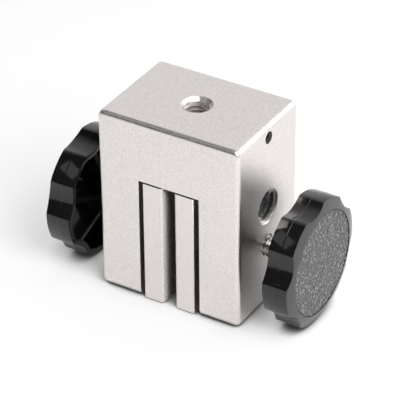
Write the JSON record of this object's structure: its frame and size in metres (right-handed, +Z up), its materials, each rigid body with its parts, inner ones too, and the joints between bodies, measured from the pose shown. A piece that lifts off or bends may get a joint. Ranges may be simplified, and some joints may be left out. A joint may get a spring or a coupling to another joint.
{
  "type": "tensile test grip",
  "caption": "Parallel jaw grip: slotted metal block, flat serrated jaws closed from both sides by fluted knobs on screws, threaded hole in the top for mounting.",
  "frame": {"origin": "middle of the block's underside, on the surface it stands on", "axes": "+X from the left knob to the right knob, -Y out of the front face, +Z up through the mounting thread"},
  "size_m": [0.0788, 0.0374, 0.0571],
  "materials": {
    "satin_nickel": "bead-blasted and nickel plated, satin",
    "jaw_steel": "ground steel with a serrated gripping face",
    "pin_steel": "ground",
    "screw_steel": "zinc plated",
    "black_oxide": "black oxide",
    "black_nylon": "glossy moulding with a grained disc"
  },
  "bodies": {
    "grip": {"grip_body": "satin_nickel", "lock_screw": "black_oxide"},
    "left_jaw_carriage": {"left_jaw": "jaw_steel", "left_lower_retaining_pin": "pin_steel", "left_upper_retaining_pin": "pin_steel"},
    "left_knob_and_screw": {"left_knob": "black_nylon", "left_clamp_screw": "screw_steel"},
    "right_jaw_carriage": {"right_jaw": "jaw_steel", "right_lower_retaining_pin": "pin_steel", "right_upper_retaining_pin": "pin_steel"},
    "right_knob_and_screw": {"right_knob": "black_nylon", "right_clamp_screw": "screw_steel"}
  },
  "joints": [
    {"name": "left_jaw_slide", "type": "slide", "parent": "grip", "child": "left_jaw_carriage", "axis": [-1, 0, 0], "range_m": [-0.00168, 0.00143]},
    {"name": "left_knob_turn", "type": "hinge", "parent": "left_jaw_carriage", "child": "left_knob_and_screw", "pos_m": [-0.0325, 0, 0.01885], "axis": [-1, 0, 0], "range_deg": [-475, 404.1]},
    {"name": "right_jaw_slide", "type": "slide", "parent": "grip", "child": "right_jaw_carriage", "axis": [1, 0, 0], "range_m": [-0.00168, 0.00143]},
    {"name": "right_knob_turn", "type": "hinge", "parent": "right_jaw_carriage", "child": "right_knob_and_screw", "pos_m": [0.0325, 0, 0.01885], "axis": [1, 0, 0], "range_deg": [-475, 404.1]}
  ],
  "couplings": [
    {"joint": "left_knob_turn", "follows": "left_jaw_slide", "rad_per_m": 4947.4},
    {"joint": "right_knob_turn", "follows": "right_jaw_slide", "rad_per_m": 4947.4}
  ]
}
